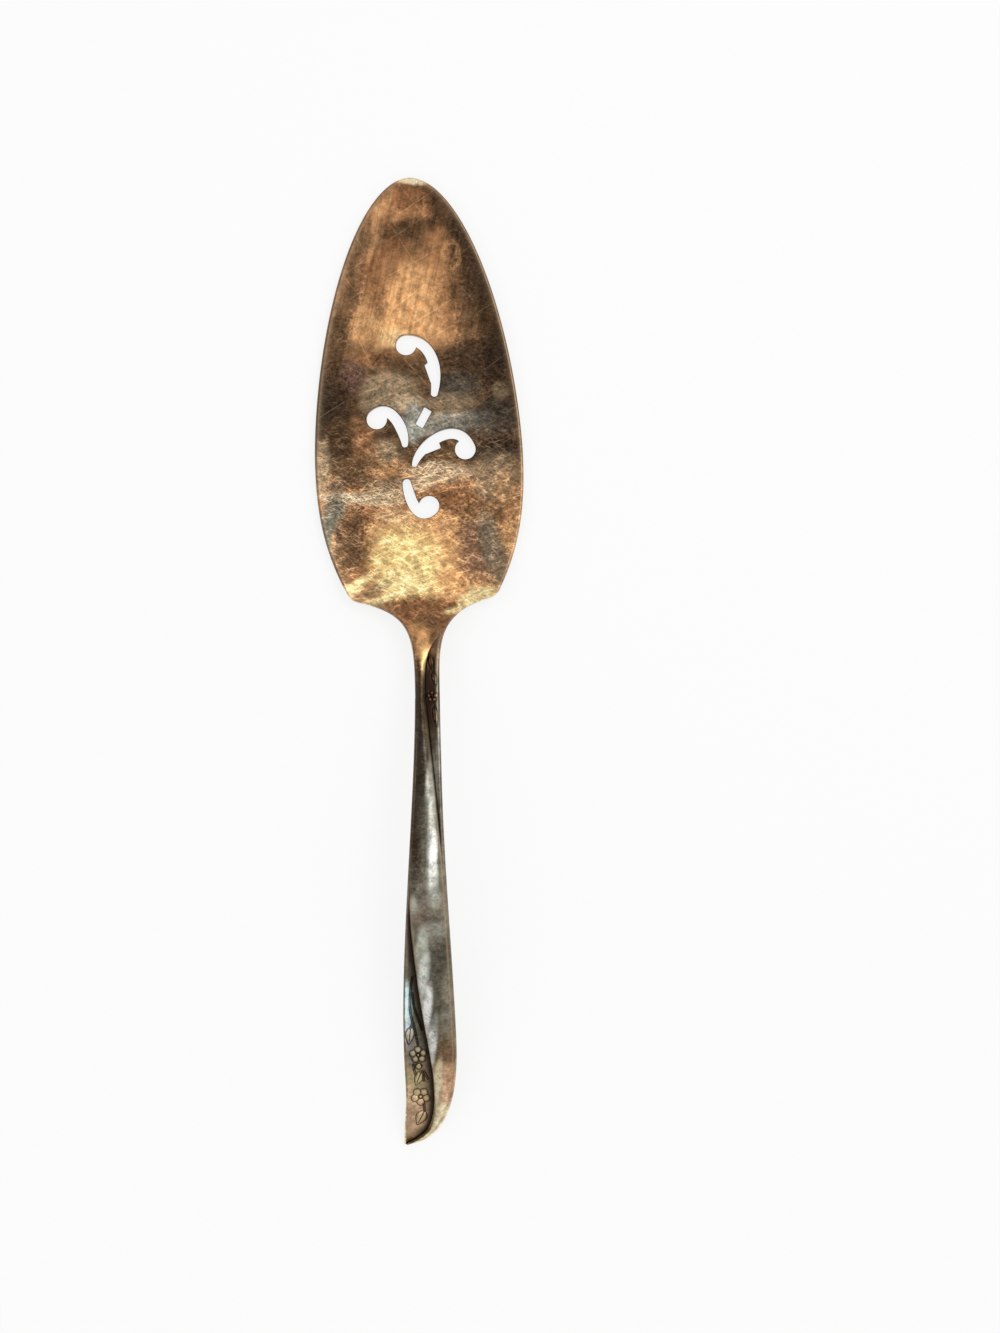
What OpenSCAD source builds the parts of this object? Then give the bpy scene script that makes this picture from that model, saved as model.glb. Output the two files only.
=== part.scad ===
// Pie server forged in one piece: a flat pierced blade with a turned-up margin, a neck that lifts
// the handle off the table, and a handle whose middle lies like a folded lapel over two sunk panels.
// The blade's tip points along +Y, +Z is up. The origin is on the flat underside of the blade,
// on its centre line, at the widest place.

/* [Blade] */
// Width of the blade at its widest line
blade_w = 53.3; // [44:0.1:64]
// From the widest line forward to the tip
blade_front = 72.6; // [60:0.2:90]
// From the widest line back to the shoulder corners
blade_back = 35.2; // [28:0.2:44]
// Width across the two shoulder corners
shoulder_w = 37.1; // [32:0.1:42]
// Sheet thickness in the middle of the blade
blade_t = 1.7; // [1.2:0.1:2.6]
// How much thinner the blade is at its rim
rim_thinning = 0.5; // [0:0.1:0.8]
// Width of the margin that is turned up all round the blade
margin_w = 9; // [5:0.5:14]
// Height that the margin rises above the flat
margin_rise = 1.5; // [0:0.1:3]
// How far the rounding of a shoulder corner reaches along each side
corner_round = 1.8; // [0.6:0.1:3]

/* [Neck] */
// From the shoulder corners back to the narrowest place
neck_len = 25.2; // [22:0.2:34]
// Width at the narrowest place
neck_w = 6.2; // [5:0.1:9]
// Sideways offset of the neck from the blade's centre line
neck_shift = 0.4; // [-1:0.1:1]
// Thickness of the neck
neck_t = 3.4; // [2.6:0.1:4.5]
// Height of the neck's underside above the table
neck_rise = 8.5; // [4:0.5:14]
// From the widest line back to where the underside leaves the table
heel_at = 22; // [14:0.5:28]

/* [Handle] */
// From the narrowest place of the neck to the end corner
handle_len = 114.4; // [100:0.2:140]
// Widest place of the handle
handle_w = 13.4; // [11:0.1:17]
// How far the handle's widest place leans to the left of the neck
handle_lean = 2.45; // [0:0.05:4]
// Thickness of the handle along its middle
handle_t = 3.0; // [2.4:0.1:4]
// Thickness at the end of the handle
end_t = 2.7; // [2.2:0.1:3.6]
// Height of the underside at the top of the arch
arch_rise = 16; // [10:0.5:24]
// From the narrowest place of the neck back to the top of the arch
arch_at = 36; // [26:0.5:50]
// Length of the sweep that closes the end
end_sweep = 29; // [22:0.5:34]
// How far the left edge flares out towards the end corner
end_flare = 1.4; // [0:0.1:2.5]
// Reach of the rounding at every free edge
edge_round = 0.6; // [0.3:0.05:0.8]

/* [Lapel fold] */
// Height that the lapel is crowned between its two ridges
crown = 0.9; // [0.3:0.1:1.2]
// Depth of the two sunk panels below the ridges
fold_depth = 0.8; // [0.3:0.1:1]
// Width of the steep wall from a ridge down to its panel
wall_w = 0.5; // [0.3:0.05:0.8]
// From the narrowest place of the neck back to where the lower panel starts
lower_panel_at = 44; // [34:0.5:54]
// Width of the lapel's top, inside the edge rounding, where it sweeps round the end
lapel_end_w = 1.7; // [1.4:0.1:4]
// Widest part of the upper panel, beside the neck
upper_panel_w = 3.3; // [2:0.1:4]
// Length over which the upper panel narrows away along the handle
upper_panel_len = 46; // [30:0.5:60]

/* [Piercing] */
// Length of the whole pierced spray, along the blade
spray_len = 47.3; // [38:0.1:56]
// From the widest line forward to the middle of the spray
spray_at = 9.0; // [4:0.2:14]
// Radius of the round lobe that ends each scroll
lobe_r = 2.65; // [1.8:0.05:2.8]
// Width of the cut along the body of a scroll
scroll_w = 2.75; // [1.8:0.05:3.2]
// Width of the cut at the tail of a scroll
tail_w = 1.8; // [1:0.1:2.1]
// Rounding that the saw leaves at the corners of the bar and at the points of the thorns
saw_round = 0.35; // [0.1:0.05:0.5]

/* [Flower relief] */
// Height of the flowers and leaves above their panel
relief_h = 0.25; // [0.15:0.05:0.4]
// Diameter of a large blossom
blossom_d = 4.8; // [3.6:0.1:5.4]
// Length of a large leaf
leaf_len = 3.8; // [2.6:0.1:4.6]
// Width of a stem
stem_w = 0.35; // [0.25:0.05:0.6]

/* [Hidden] */
SILVER = [0.62, 0.50, 0.38];
LEFT = 1;
RIGHT = -1;

// The curve of the outline: how it rounds at the tip, sweeps forward and bends in to the shoulder
tip_round = 1.9;
tip_sweep = 1.7;
side_bend = 2.43;
shoulder_fall = 12.5;
shoulder_pull = 16;
neck_pull = 0.6 * neck_len;

// Places along the length, counted from the widest line
neck_y = -(blade_back + neck_len);
end_y = neck_y - handle_len;
sweep_y = end_y + end_sweep;
arch_y = neck_y - arch_at;
lower_y = neck_y - lower_panel_at;
upper_y = -(blade_back + 8);

// Rows along each stretch of the outline, columns across the top and the underside
TIP_ROWS = 26;
SIDE_ROWS = 14;
CORNER_ROWS = 4;
NECK_ROWS = 20;
HANDLE_ROWS = 40;
END_ROWS = 20;
TOP = 15;
RIDGE_LEFT = 4;
RIDGE_RIGHT = 12;
UNDER = 8;
RIM = 4;
RING = TOP + 1 + UNDER + 1 + 2 * (RIM - 1);

function mix(a, b, t) = a + (b - a) * t;
function clip(t) = min(1, max(0, t));
function ease(t) = let (c = clip(t)) c * c * (3 - 2 * c);
function bezier(a, b, c, d, t) =
    a * pow(1 - t, 3) + 3 * b * t * pow(1 - t, 2) + 3 * c * t * t * (1 - t) + d * pow(t, 3);

// Cubic through two heights with a given slope at each
function glide(y0, z0, slope0, y1, z1, slope1, y) =
    let (h = y1 - y0, t = clip((y - y0) / h))
    (2 * t * t * t - 3 * t * t + 1) * z0 + (t * t * t - 2 * t * t + t) * h * slope0
    + (3 * t * t - 2 * t * t * t) * z1 + (t * t * t - t * t) * h * slope1;

// Half of the blade's width, ahead of the widest line and behind it
function front_x(y) = blade_w / 2 * pow(max(0, 1 - pow(y / blade_front, tip_sweep)), 1 / tip_round);
function side_x(y) = blade_w / 2 - (blade_w - shoulder_w) / 2 * pow(-y / blade_back, side_bend);

// Shoulder line and the hollow curve into the neck, as one Bezier from corner to narrowest place
corner = [shoulder_w / 2, -blade_back];
function neck_curve(side, t) =
    bezier([side * corner.x, corner.y],
           [side * (corner.x - shoulder_pull * cos(shoulder_fall)),
            corner.y - shoulder_pull * sin(shoulder_fall)],
           [neck_shift + side * neck_w / 2, neck_y + neck_pull],
           [neck_shift + side * neck_w / 2, neck_y], t);

// The rounded shoulder corner, between a place on the side and a place on the shoulder line
shoulder_t = corner_round / (3 * shoulder_pull);
function corner_curve(side, t) =
    let (a = [side * side_x(corner_round - blade_back), corner_round - blade_back],
         c = neck_curve(side, shoulder_t))
    bezier(a, mix(a, [side * corner.x, corner.y], 2 / 3), mix(c, [side * corner.x, corner.y], 2 / 3), c, t);

// Edges of the handle
widest_left = neck_shift - handle_lean - handle_w / 2;
widest_right = neck_shift - handle_lean + handle_w / 2;
left_y = end_y + 20;
function handle_left(y) =
    mix(neck_shift - neck_w / 2, widest_left, ease((neck_y + 5 - y) / (neck_y + 5 - left_y)))
    - end_flare * ease((left_y - 3 - y) / 20);
function handle_right(y) =
    mix(neck_shift + neck_w / 2, widest_right, ease((neck_y - 20 - y) / (neck_y - 20 - sweep_y)));
function end_curve(t) =
    bezier([widest_right, sweep_y], [widest_right, sweep_y - end_sweep / 2],
           [widest_left + 10.5, end_y + 0.4], [widest_left - end_flare + 0.3, end_y], t);

// Each row of the outline: its left point and its right point, from the tip to the end corner
outline = concat(
    [for (i = [1 : TIP_ROWS])
        let (a = 90 * (1 - i / TIP_ROWS),
             x = blade_w / 2 * pow(cos(a), 2 / tip_round),
             y = blade_front * pow(sin(a), 2 / tip_sweep))
        [[-x, y], [x, y]]],
    [for (i = [1 : SIDE_ROWS])
        let (y = (corner_round - blade_back) * i / SIDE_ROWS, x = side_x(y))
        [[-x, y], [x, y]]],
    [for (i = [1 : CORNER_ROWS])
        [corner_curve(-1, i / CORNER_ROWS), corner_curve(1, i / CORNER_ROWS)]],
    [for (i = [1 : NECK_ROWS])
        let (t = mix(shoulder_t, 1, i / NECK_ROWS))
        [neck_curve(-1, t), neck_curve(1, t)]],
    [for (i = [1 : HANDLE_ROWS])
        let (y = mix(neck_y, sweep_y, i / HANDLE_ROWS))
        [[handle_left(y), y], [handle_right(y), y]]],
    [for (i = [1 : END_ROWS])
        let (t = 0.97 * i / END_ROWS, p = end_curve(t))
        [[handle_left(p.y), p.y], p]]
);
ROWS = len(outline);

// The same rows moved inward, square to each edge
function edge_in(row, side, reach) =
    let (a = outline[max(0, row - 1)][side], b = outline[min(ROWS - 1, row + 1)][side],
         run = b - a, turn = side == 0 ? 1 : -1)
    outline[row][side] + turn * reach * [-run.y, run.x] / norm(run);

// Height of the underside above the table along the centre line
function under_z(y) =
    y > -heel_at ? 0
    : y > neck_y ? glide(-heel_at, 0, 0, neck_y, neck_rise, -0.36, y)
    : y > arch_y ? glide(neck_y, neck_rise, -0.36, arch_y, arch_rise, 0, y)
    : glide(arch_y, arch_rise, 0, end_y, 0, 0.4, y);

// Thickness along the centre line
function thick(y) =
    blade_t + (neck_t - blade_t) * ease((-heel_at - y) / (blade_back + neck_len / 2 - heel_at))
    + (handle_t - neck_t) * ease((neck_y - y) / arch_at)
    + (end_t - handle_t) * ease((lower_y - y) / (lower_y - end_y));

// How far out a place on the blade lies: 0 on the centre, 1 on the rim
function outward(x, y) =
    y > 0 ? pow(pow(abs(x) * 2 / blade_w, tip_round) + pow(y / blade_front, tip_sweep), 1 / tip_round)
    : abs(x) / side_x(max(y, -blade_back));
function margin(x, y) =
    pow(clip((outward(x, y) - 1) * blade_w / 2 / margin_w + 1), 2) * ease((y + blade_back + 6) / 12);

// Widths of the two sunk panels and their depth, along the handle
function lower_panel(y, left, right) =
    let (t = clip((lower_y - y) / (lower_y - end_y - 4)),
         start_w = handle_right(lower_y) - handle_left(lower_y) - edge_round)
    y > lower_y ? 0 : max(0, right - left - mix(start_w, lapel_end_w, pow(t, 2.3)));
function upper_panel(y) =
    upper_panel_w * (1 - pow(1 - clip((upper_y - y) / 15), 3))
    * pow(1 - clip((neck_y - y) / upper_panel_len), 1.3);
function lower_depth(y) = fold_depth * ease((lower_y - y) / 16);
function upper_depth(y) = fold_depth * ease((upper_y - y) / 10) * ease((neck_y - upper_panel_len - y) / -14);
function crown_at(y) = crown * ease((upper_y - y) / 20);

// Where column j crosses a row, as a share of the row's width
function blade_share(j) = j / TOP - 0.1 * sin(360 * j / TOP);
function handle_share(j, left, right, y) =
    let (w = right - left, seam = 0.2,
         low = max(seam, lower_panel(y, left, right)), up = max(seam, upper_panel(y)),
         x = j < RIDGE_LEFT ? (low - min(wall_w, low / 2)) * j / (RIDGE_LEFT - 1)
           : j <= RIDGE_RIGHT ? mix(low, w - up, (j - RIDGE_LEFT) / (RIDGE_RIGHT - RIDGE_LEFT))
           : w - (up - min(wall_w, up / 2)) * (TOP - j) / (TOP - RIDGE_RIGHT - 1))
    x / w;
function share(j, left, right, y) =
    mix(blade_share(j), handle_share(j, left, right, y), ease((2 - blade_back - y) / 10));

// Top of the metal at a place, on column j
function top_z(p, j) =
    let (u = clip((j - RIDGE_LEFT) / (RIDGE_RIGHT - RIDGE_LEFT)),
         sunk = j < RIDGE_LEFT ? lower_depth(p.y) : j > RIDGE_RIGHT ? upper_depth(p.y) : 0)
    under_z(p.y) + thick(p.y) + (margin_rise - rim_thinning) * margin(p.x, p.y)
    - crown_at(p.y) * pow(2 * u - 1, 2) - sunk;
function bottom_z(p) = under_z(p.y) + margin_rise * margin(p.x, p.y);

// One point of the rounded edge: angle 90 is the top of the rounding, -90 the bottom
function rim_point(row, side, angle) =
    let (inner = edge_in(row, side, edge_round),
         high = top_z(inner, side == 0 ? 0 : TOP), low = bottom_z(inner),
         p = edge_in(row, side, edge_round * (1 - cos(angle))))
    [p.x, p.y, (high + low) / 2 + (high - low) / 2 * sin(angle)];

// The closed section at one row: across the top, round the right edge, back below, up the left edge
function ring(row) =
    let (left = edge_in(row, 0, edge_round), right = edge_in(row, 1, edge_round))
    concat(
        [for (j = [0 : TOP])
            let (p = mix(left, right, share(j, left.x, right.x, (left.y + right.y) / 2)))
            [p.x, p.y, top_z(p, j)]],
        [for (k = [1 : RIM - 1]) rim_point(row, 1, 90 - 180 * k / RIM)],
        [for (j = [0 : UNDER])
            let (p = mix(right, left, j / UNDER - 0.08 * sin(360 * j / UNDER)))
            [p.x, p.y, bottom_z(p)]],
        [for (k = [1 : RIM - 1]) rim_point(row, 0, -90 + 180 * k / RIM)]
    );

// The forged blank: the rings joined from the tip to the end corner, closed by a point at each end
module blank() {
    tip = [0, blade_front, margin_rise + (blade_t - rim_thinning) / 2];
    last = outline[ROWS - 1];
    tail = [mix(last[0].x, last[1].x, 0.4), end_y, under_z(end_y) + thick(end_y) / 2 - fold_depth];
    points = concat([for (row = [0 : ROWS - 1]) each ring(row)], [tip, tail]);
    skin = [for (row = [0 : ROWS - 2], j = [0 : RING - 1])
        let (k = (j + 1) % RING, a = row * RING + j, b = row * RING + k, c = b + RING, d = a + RING)
        each (j < TOP / 2 || j > TOP + RIM + UNDER / 2 ? [[a, b, c], [a, c, d]] : [[a, b, d], [b, c, d]])];
    nose = [for (j = [0 : RING - 1]) [ROWS * RING, (j + 1) % RING, j]];
    heel = [for (j = [0 : RING - 1])
        let (start = (ROWS - 1) * RING) [ROWS * RING + 1, start + j, start + (j + 1) % RING]];
    polyhedron(points, concat(skin, nose, heel), convexity = 8);
}

// A band of changing width along a Bezier spine, with round ends, as a flat outline
function band(spine, start_w, body_w, steps = 16) =
    let (at = [for (i = [0 : steps]) bezier(spine[0], spine[1], spine[2], spine[3], i / steps)],
         half = [for (i = [0 : steps]) mix(start_w, body_w, sin(90 * min(1, 2.5 * i / steps))) / 2],
         heading = [for (i = [0 : steps])
             let (run = at[min(steps, i + 1)] - at[max(0, i - 1)]) atan2(run.y, run.x)])
    concat([for (i = [0 : steps]) at[i] + half[i] * aim(heading[i] + 90)],
           [for (i = [1 : 7]) at[steps] + half[steps] * aim(heading[steps] + 90 - 22.5 * i)],
           [for (i = [steps : -1 : 0]) at[i] + half[i] * aim(heading[i] - 90)],
           [for (i = [1 : 7]) at[0] + half[0] * aim(heading[0] - 90 - 22.5 * i)]);
function aim(angle) = [cos(angle), sin(angle)];

// One pierced scroll: a tail that swells along its spine and rolls over into a round lobe, to the
// left of its run or to the right. The lobe touches the outer side of the band from within.
module scroll(spine, side, tail) {
    run = spine[3] - spine[2];
    lobe = spine[3] + side * (lobe_r - scroll_w / 2) * [-run.y, run.x] / norm(run);
    polygon(band(spine, tail, scroll_w));
    translate(lobe) circle(r = lobe_r, $fn = 48);
}

// A straight-sided opening with corners as round as the saw leaves them
module sawn(corners) {
    offset(r = saw_round, $fn = 24)
    offset(delta = -saw_round)
    polygon(corners);
}

// The pierced spray of four scrolls and a bar, cut straight through the blade. Two of the scrolls
// carry a thorn: a long taper on the inner side that ends in a step.
module piercings() {
    drawn_len = 47.3;
    drawn_middle = 9.0;
    translate([0, spray_at, -1])
    linear_extrude(blade_t + margin_rise + 2)
    scale(spray_len / drawn_len)
    translate([0, -drawn_middle]) {
        scroll([[4.5, 17.4], [5.8, 23.5], [4.4, 31.2], [-2.3, 31.3]], LEFT, tail_w);
        sawn([[4.2, 26.4], [2.2, 24.8], [3.9, 19.4], [4.9, 23.1]]);
        scroll([[-3.5, 4.6], [-3.4, 8.1], [-6.8, 16.1], [-11.3, 12.3]], LEFT, 0.9 * tail_w);
        scroll([[-1.2, -0.6], [0.1, 4.1], [9.9, 11.4], [13.1, 3.3]], RIGHT, 0.8 * tail_w);
        sawn([[4.9, 5.8], [5.7, 3.3], [0.1, 1.3], [1.9, 3.8], [4.0, 5.7]]);
        scroll([[-3.4, -5.3], [-3.2, -7.1], [-1.6, -16.0], [2.9, -12.4]], LEFT, 1.2 * tail_w);
        sawn([[1.8, 14.1], [3.7, 12.8], [1.2, 8.5], [-0.7, 9.7]]);
    }
}

// Carries a flat shape onto a sunk panel: at [x, y], tilted with the panel, raised by the relief
module on_panel(p, j, rise = relief_h) {
    z = top_z(p, j);
    slope = top_z([p.x, p.y + 0.5], j) - top_z([p.x, p.y - 0.5], j);
    sunk = 0.4;
    translate([p.x, p.y, z])
    rotate([atan(slope), 0, 0])
    translate([0, 0, -sunk])
    linear_extrude(rise + sunk)
    children();
}

// Five petals round a raised centre
module blossom(p, d, turn, j) {
    on_panel(p, j)
    for (i = [0 : 4])
        rotate(turn + 72 * i)
        translate([0.3 * d, 0])
        circle(d = 0.4 * d, $fn = 20);
    on_panel(p, j, 1.4 * relief_h) circle(d = 0.22 * d, $fn = 16);
}

// A pointed leaf, from its foot to its tip
module leaf(p, length, turn, j) {
    bow = 0.55 * length;
    on_panel(p, j)
    rotate(turn)
    intersection() {
        translate([length / 2, bow - 0.3 * length]) circle(r = norm([length / 2, bow - 0.3 * length]), $fn = 60);
        translate([length / 2, 0.3 * length - bow]) circle(r = norm([length / 2, bow - 0.3 * length]), $fn = 60);
    }
}

// A stem: a thin band along a curve, drawn from its foot
module stem(p, spine, j) {
    on_panel(p, j) polygon(band(spine, stem_w, stem_w, 6));
}

// The spray on the lower panel, set out from the end corner and from the left edge
function lower_place(back, inward) =
    let (y = end_y + back) [handle_left(y) + inward, y];
module lower_spray() {
    blossom(lower_place(13.5, 3.7), blossom_d, 52, 0);
    blossom(lower_place(25, 3.6), 0.95 * blossom_d, 20, 0);
    on_panel(lower_place(22.3, 3.5), 0) circle(d = 0.38 * blossom_d, $fn = 20);
    leaf(lower_place(9.4, 4.9), 1.1 * leaf_len, -119, 0);
    leaf(lower_place(20.4, 4.3), leaf_len, -115, 0);
    leaf(lower_place(33.3, 2.3), 1.2 * leaf_len, -102, 0);
    stem(lower_place(11.4, 4.7), [[0, -2], [0.1, -1.3], [0.1, -0.6], [-0.2, 0.2]], 0);
    stem(lower_place(33.4, 2.4), [[1.1, -5.6], [0.7, -3.4], [0.2, -1.6], [0, 0]], 0);
    stem(lower_place(39, 1.8), [[0.4, -6], [-0.2, -3.8], [-0.3, -1.8], [0, 0]], 0);
    stem(lower_place(45, 2.2), [[-0.4, -6.2], [-0.6, -4], [-0.4, -2], [0.2, 0]], 0);
    stem(lower_place(41, 2.4), [[2.0, -9], [1.4, -6], [0.2, -4], [0, 0]], 0);
}

// The small spray on the upper panel, set out from the neck and from the right edge
function upper_place(back, inward) =
    let (y = neck_y - back) [handle_right(y) - inward, y];
module upper_spray() {
    blossom(upper_place(0, 1.9), 0.62 * blossom_d, 90, TOP);
    leaf(upper_place(-10.2, 1.7), leaf_len, -95, TOP);
    leaf(upper_place(-6.4, 1.4), 0.9 * leaf_len, -92, TOP);
    leaf(upper_place(2.4, 1.4), 1.2 * leaf_len, -88, TOP);
}

module pie_server() {
    color(SILVER)
    union() {
        difference() {
            blank();
            piercings();
        }
        lower_spray();
        upper_spray();
    }
}

pie_server();
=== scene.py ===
import math

import bpy
import numpy as np
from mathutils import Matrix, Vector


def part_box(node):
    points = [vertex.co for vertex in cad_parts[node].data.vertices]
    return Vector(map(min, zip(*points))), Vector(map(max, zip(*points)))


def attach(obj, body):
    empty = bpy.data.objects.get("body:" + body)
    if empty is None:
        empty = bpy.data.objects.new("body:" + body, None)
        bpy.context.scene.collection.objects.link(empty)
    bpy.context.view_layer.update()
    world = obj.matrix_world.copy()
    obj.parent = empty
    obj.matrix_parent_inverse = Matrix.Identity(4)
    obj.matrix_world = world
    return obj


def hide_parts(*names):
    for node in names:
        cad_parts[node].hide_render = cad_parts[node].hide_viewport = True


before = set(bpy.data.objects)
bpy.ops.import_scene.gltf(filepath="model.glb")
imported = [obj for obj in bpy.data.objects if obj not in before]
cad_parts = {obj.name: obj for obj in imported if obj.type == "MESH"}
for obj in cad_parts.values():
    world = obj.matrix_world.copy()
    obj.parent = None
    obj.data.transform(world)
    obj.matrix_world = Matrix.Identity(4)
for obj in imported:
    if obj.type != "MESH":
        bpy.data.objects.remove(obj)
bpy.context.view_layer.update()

# The forged blank. One bar of nickel silver, rolled out thin for the blade, with a margin turned
# up all round it, and left thick for the neck and the arched handle. It is worked out here in
# millimetres: rows run from the tip to the end corner, columns run across the top.
MM = 0.001
low_corner, high_corner = (np.array(corner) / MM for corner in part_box("pie_server"))
blade_w = high_corner[0] - low_corner[0]
blade_front = high_corner[1]
end_y = low_corner[1]
blade_back, shoulder_w, corner_round = 35.2, 37.1, 1.8
blade_t, rim_thinning, margin_w, margin_rise = 1.7, 0.5, 9.0, 1.5
tip_round, tip_sweep, side_bend = 1.9, 1.7, 2.43
shoulder_fall, shoulder_pull = math.radians(12.5), 16
neck_len, neck_w, neck_shift, neck_t, neck_rise, heel_at = 25.2, 6.2, 0.4, 3.4, 8.5, 22.0
handle_len, handle_w, handle_lean, handle_t, end_t = 114.4, 13.4, 2.45, 3.0, 2.7
arch_at, arch_rise, lower_panel_at, end_sweep, end_flare = 36, 16.0, 44, 29, 1.4
edge_round = 0.6

# Places along the length, counted from the blade's widest line, and the handle's widest place
neck_y = end_y + handle_len
arch_y, lower_y, sweep_y = neck_y - arch_at, neck_y - lower_panel_at, end_y + end_sweep
widest_left, widest_right = (neck_shift - handle_lean + side * handle_w / 2 for side in (-1, 1))
widest_y = end_y + 20

# Rows of the grid along each stretch. On the handle they lie closer where the flowers are
TIP_ROWS, SIDE_ROWS, CORNER_ROWS, NECK_ROWS, END_ROWS = 60, 30, 10, 110, 199
HANDLE_RUNS = [(-69, 43), (-128, 49), (sweep_y, 119)]


def mix(a, b, t):
    """The value a share t of the way from a to b."""
    return a + (b - a) * t


def clip(t):
    """t held between 0 and 1."""
    return np.clip(t, 0.0, 1.0)


def ease(t):
    """Rises from 0 to 1 as three t squared less two t cubed, level at both ends."""
    t = clip(t)
    return t * t * (3 - 2 * t)


def bezier(a, b, c, d, t):
    """The cubic Bezier curve: its four points weighted by the four terms of (1 - t + t) cubed."""
    a, b, c, d = (np.asarray(p, float) for p in (a, b, c, d))
    t = np.asarray(t, float)[:, None]
    return a * (1 - t) ** 3 + 3 * b * t * (1 - t) ** 2 + 3 * c * t * t * (1 - t) + d * t ** 3


def glide(y0, z0, slope0, y1, z1, slope1, y):
    """The cubic through two heights with a given slope at each."""
    h = y1 - y0
    t = clip((y - y0) / h)
    return ((2 * t ** 3 - 3 * t ** 2 + 1) * z0 + (t ** 3 - 2 * t ** 2 + t) * h * slope0
            + (3 * t ** 2 - 2 * t ** 3) * z1 + (t ** 3 - t ** 2) * h * slope1)


def evenly(curve, start, stop, count):
    """The parameters that cut a curve's length between start and stop into equal runs."""
    t = np.linspace(start, stop, 1500)
    run = np.concatenate([[0], np.cumsum(np.hypot(*np.diff(curve(t), axis=0).T))])
    return np.interp(np.linspace(0, run[-1], count + 1)[1:], run, t)


def side_x(y):
    """Half the blade's width behind its widest line: it falls off as a power of the distance."""
    back = np.clip(-y, 0, None) / blade_back
    return blade_w / 2 - (blade_w - shoulder_w) / 2 * back ** side_bend


def neck_curve(t):
    """The right shoulder line and the hollow into the neck, as one Bezier from the corner."""
    corner = np.array([shoulder_w / 2, -blade_back])
    line = np.array([math.cos(shoulder_fall), math.sin(shoulder_fall)])
    return bezier(corner, corner - shoulder_pull * line,
                  [neck_w / 2, neck_y + 0.6 * neck_len], [neck_w / 2, neck_y], t)


def handle_left(y):
    """Left edge of the handle: it eases out from the neck, then flares at the end corner."""
    start = neck_y + 5
    return (mix(neck_shift - neck_w / 2, widest_left, ease((start - y) / (start - widest_y)))
            - end_flare * ease((widest_y - 3 - y) / 20))


def handle_right(y):
    """Right edge of the handle, down to where the end's sweep begins."""
    start = neck_y - 20
    return mix(neck_shift + neck_w / 2, widest_right, ease((start - y) / (start - sweep_y)))


def outline_rows():
    """The left and right end of each row. The tip is a superellipse taken by its angle, the
    shoulder corner a short Bezier between two tangents, the rest the curves above."""
    angle = np.radians(np.linspace(90, 0, TIP_ROWS + 1)[1:])
    tip = np.stack([blade_w / 2 * np.cos(angle) ** (2 / tip_round),
                    blade_front * np.clip(np.sin(angle), 0, 1) ** (2 / tip_sweep)], 1)
    y = np.linspace(0, corner_round - blade_back, SIDE_ROWS + 1)[1:]
    side = np.stack([side_x(y), y], 1)
    start = corner_round / (3 * shoulder_pull)
    point = np.array([shoulder_w / 2, -blade_back])
    foot = neck_curve(np.array([start]))[0]
    corner = bezier(side[-1], mix(side[-1], point, 2 / 3), mix(foot, point, 2 / 3), foot,
                    np.linspace(0, 1, CORNER_ROWS + 1)[1:])
    neck = neck_curve(evenly(neck_curve, start, 1, NECK_ROWS))
    blade = np.concatenate([tip, side, corner, neck])
    shift = neck_shift * ease(-(blade[:, 1] + blade_back) / 6)
    left = np.stack([shift - blade[:, 0], blade[:, 1]], 1)
    right = np.stack([shift + blade[:, 0], blade[:, 1]], 1)
    starts = [neck_y] + [stop for stop, count in HANDLE_RUNS]
    y = np.concatenate([np.linspace(start, stop, count + 1)[1:]
                        for start, (stop, count) in zip(starts, HANDLE_RUNS)])
    left = np.concatenate([left, np.stack([handle_left(y), y], 1)])
    right = np.concatenate([right, np.stack([handle_right(y), y], 1)])
    sweep = bezier([widest_right, sweep_y], [widest_right, sweep_y - end_sweep / 2],
                   [widest_left + 10.5, end_y + 0.4], [widest_left - end_flare + 0.3, end_y],
                   np.linspace(0, 0.97, END_ROWS + 1)[1:])
    left = np.concatenate([left, np.stack([handle_left(sweep[:, 1]), sweep[:, 1]], 1)])
    return left, np.concatenate([right, sweep])


def inset(edge, reach, turn):
    """Each point moved square to its edge: the run between its two neighbours, turned a quarter."""
    run = np.gradient(edge, axis=0)
    run /= np.hypot(run[:, 0], run[:, 1])[:, None]
    return edge + turn * reach * np.stack([-run[:, 1], run[:, 0]], 1)


def under_z(y):
    """Height of the underside: flat below the blade, up through the neck, over the arch, down."""
    return np.where(y > -heel_at, 0.0, np.where(
        y > neck_y, glide(-heel_at, 0, 0, neck_y, neck_rise, -0.36, y), np.where(
            y > arch_y, glide(neck_y, neck_rise, -0.36, arch_y, arch_rise, 0, y),
            glide(arch_y, arch_rise, 0, end_y, 0, 0.4, y))))


def thick(y):
    """Thickness along the middle: thin in the blade, thickest in the neck."""
    to_neck = ease((-heel_at - y) / (blade_back + neck_len / 2 - heel_at))
    return (blade_t + (neck_t - blade_t) * to_neck
            + (handle_t - neck_t) * ease((neck_y - y) / arch_at)
            + (end_t - handle_t) * ease((lower_y - y) / (lower_y - end_y)))


def margin(x, y):
    """0 on the flat of the blade, rising as a square to 1 at its rim, and gone at the shoulders."""
    front = ((np.abs(x) * 2 / blade_w) ** tip_round
             + (np.clip(y, 0, None) / blade_front) ** tip_sweep) ** (1 / tip_round)
    back = np.abs(x) / side_x(np.clip(y, -blade_back, 0))
    outward = np.where(y > 0, front, back)
    return clip((outward - 1) * blade_w / 2 / margin_w + 1) ** 2 * ease((y + blade_back + 6) / 12)


outer_left, outer_right = outline_rows()
left, right = inset(outer_left, edge_round, 1), inset(outer_right, edge_round, -1)

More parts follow.
